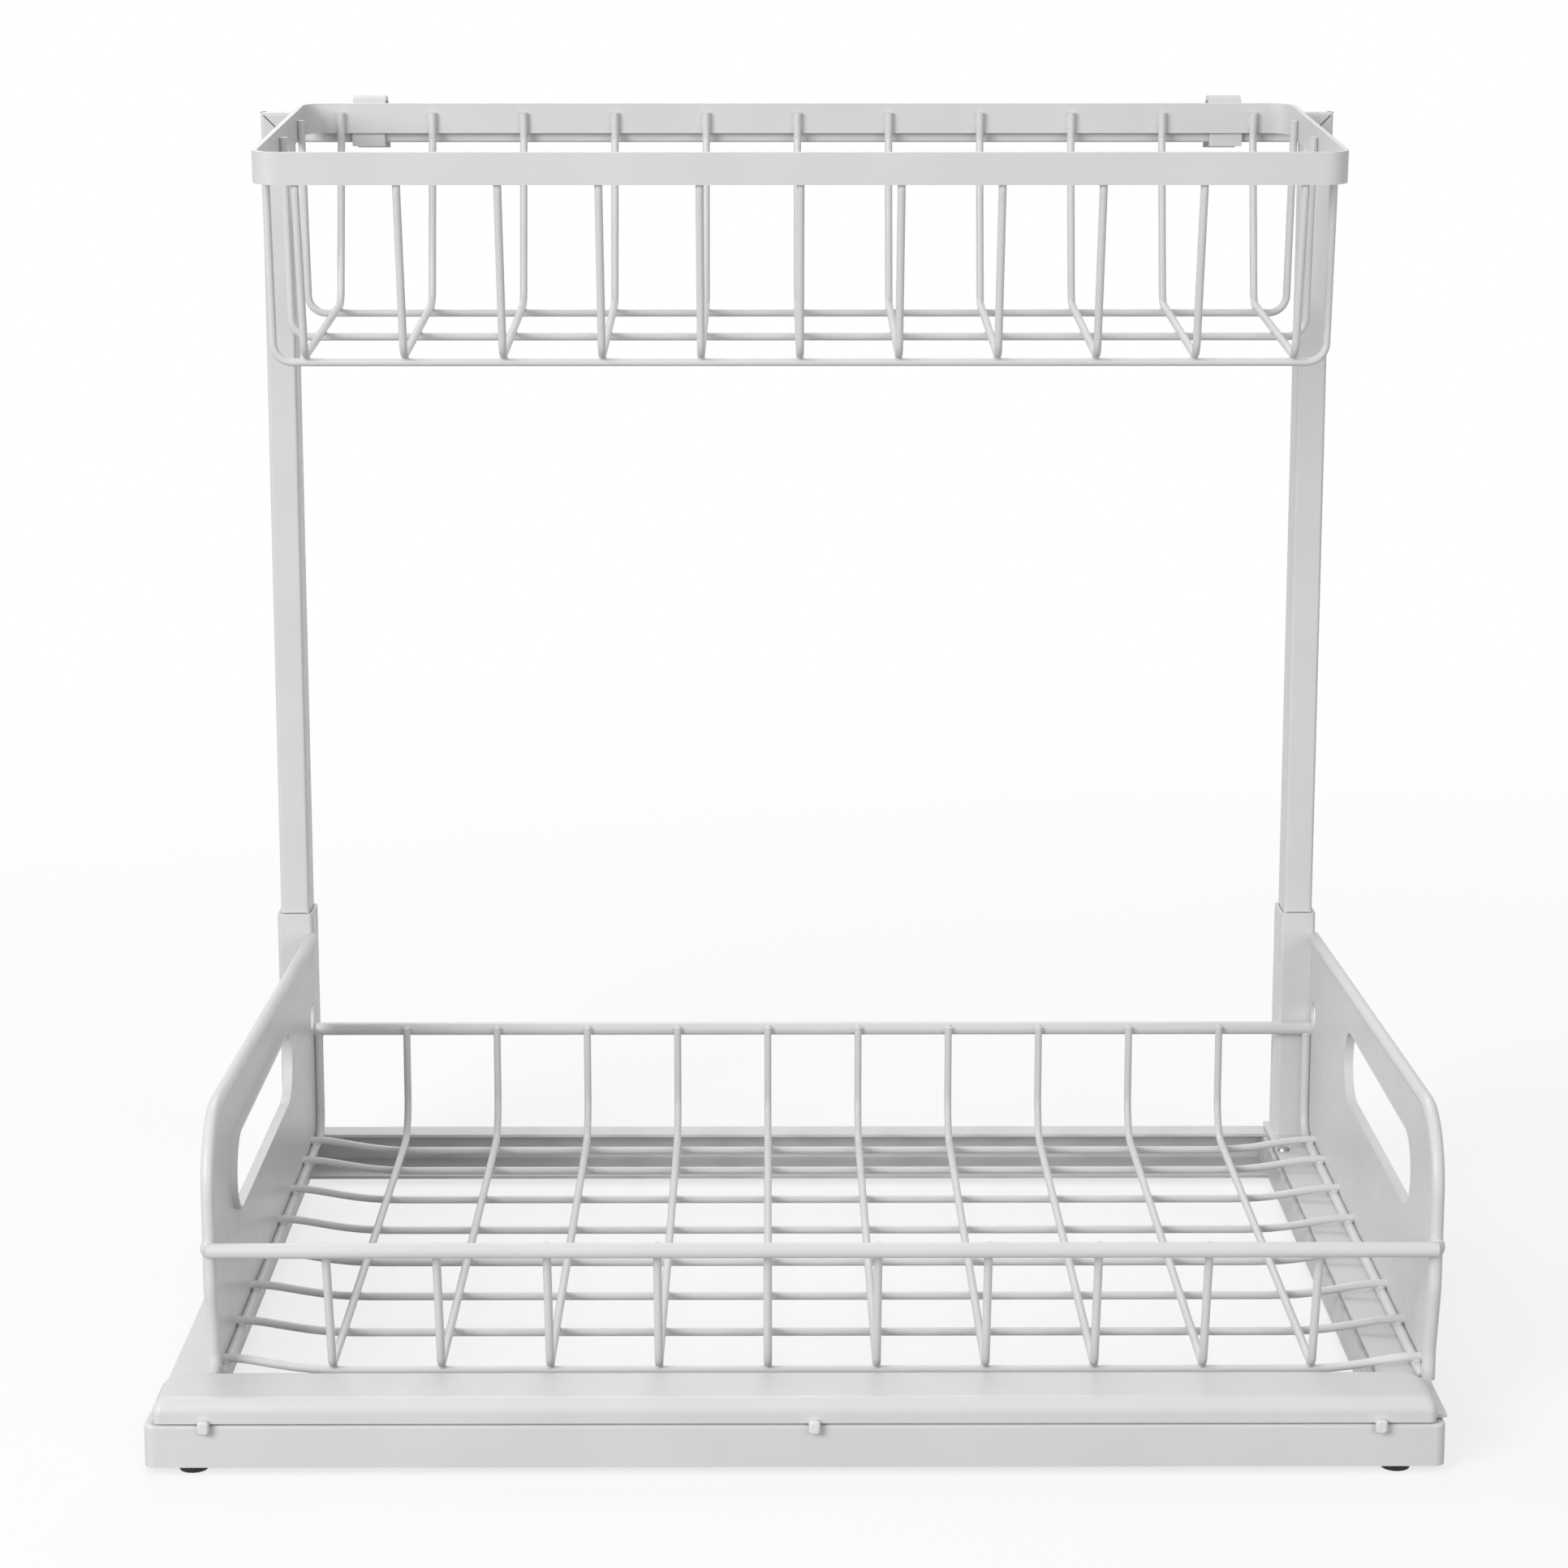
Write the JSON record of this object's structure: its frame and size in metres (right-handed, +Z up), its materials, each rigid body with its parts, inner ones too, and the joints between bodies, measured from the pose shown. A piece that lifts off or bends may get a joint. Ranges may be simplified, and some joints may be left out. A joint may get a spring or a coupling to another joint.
{
  "type": "two-tier pull-out cabinet basket",
  "caption": "White wire drawer on roller slides over a low fixed steel base, with an upright tube frame at its back that carries a small hook-on wire basket",
  "frame": {"origin": "on the floor under the middle of the base, z = 0 at the flats of the rubber feet", "axes": "+X to the right, -Y towards the user and the way the drawer pulls out, +Z up"},
  "size_m": [0.3727, 0.3083, 0.3812],
  "materials": {
    "white_steel": "semi-gloss powder coat",
    "zinc_steel": "bright zinc",
    "nylon": "smooth moulded",
    "black_rubber": "matte",
    "soft_clear": "translucent soft plastic"
  },
  "bodies": {
    "base": {"base_front": "white_steel", "base_rear": "white_steel", "rail_left": "white_steel", "rail_right": "white_steel", "frame_rivets": "zinc_steel", "foot_front_left": "black_rubber", "foot_front_right": "black_rubber", "foot_rear_left": "black_rubber", "foot_rear_right": "black_rubber", "front_axle_left": "zinc_steel", "front_axle_right": "zinc_steel", "stop_pins": "zinc_steel", "buffer_left": "black_rubber", "buffer_right": "black_rubber"},
    "drawer": {"hanger_left": "zinc_steel", "hanger_right": "zinc_steel", "rear_axles": "zinc_steel", "front_cover": "white_steel", "bumper_left": "soft_clear", "bumper_middle": "soft_clear", "bumper_right": "soft_clear", "side_panel_left": "white_steel", "side_panel_right": "white_steel", "edge_rod_left": "white_steel", "edge_rod_right": "white_steel", "front_rail": "white_steel", "rear_rail": "white_steel", "side_wire_left": "white_steel", "side_wire_right": "white_steel", "sleeve_left": "white_steel", "sleeve_right": "white_steel", "drawer_rivets": "zinc_steel", "floor_wire_01": "white_steel", "floor_wire_02": "white_steel", "floor_wire_03": "white_steel", "floor_wire_04": "white_steel", "floor_wire_05": "white_steel", "floor_wire_06": "white_steel", "floor_wire_07": "white_steel", "floor_wire_08": "white_steel", "floor_wire_09": "white_steel", "floor_wire_10": "white_steel", "cross_wires": "white_steel", "post_left": "white_steel", "post_right": "white_steel", "top_bar": "white_steel"},
    "basket": {"basket_rim": "white_steel", "hook_left": "white_steel", "hook_right": "white_steel", "basket_wires": "white_steel", "basket_cross_wires": "white_steel"},
    "front_roller_left": {"front_roller_left": "nylon"},
    "front_roller_right": {"front_roller_right": "nylon"},
    "rear_rollers_left": {"rear_rollers_left": "nylon"},
    "rear_rollers_right": {"rear_rollers_right": "nylon"}
  },
  "joints": [
    {"name": "drawer_slide", "type": "slide", "parent": "base", "child": "drawer", "axis": [0, -1, 0], "range_m": [0, 0.235]},
    {"name": "front_roller_left_spin", "type": "hinge", "parent": "base", "child": "front_roller_left", "pos_m": [-0.177, -0.133, 0.00995], "axis": [1, 0, 0], "range_deg": [0, 2750]},
    {"name": "front_roller_right_spin", "type": "hinge", "parent": "base", "child": "front_roller_right", "pos_m": [0.177, -0.133, 0.00995], "axis": [1, 0, 0], "range_deg": [0, 2750]},
    {"name": "rear_rollers_left_spin", "type": "hinge", "parent": "drawer", "child": "rear_rollers_left", "pos_m": [-0.177, 0.12, 0.00815], "axis": [1, 0, 0], "range_deg": [0, 3350]},
    {"name": "rear_rollers_right_spin", "type": "hinge", "parent": "drawer", "child": "rear_rollers_right", "pos_m": [0.177, 0.12, 0.00815], "axis": [1, 0, 0], "range_deg": [0, 3350]},
    {"name": "basket_lift", "type": "slide", "parent": "drawer", "child": "basket", "axis": [0, 0, 1], "range_m": [0, 0.02]}
  ],
  "couplings": [
    {"joint": "front_roller_left_spin", "follows": "drawer_slide", "rad_per_m": 200},
    {"joint": "front_roller_right_spin", "follows": "drawer_slide", "rad_per_m": 200},
    {"joint": "rear_rollers_left_spin", "follows": "drawer_slide", "rad_per_m": 243.9},
    {"joint": "rear_rollers_right_spin", "follows": "drawer_slide", "rad_per_m": 243.9}
  ]
}
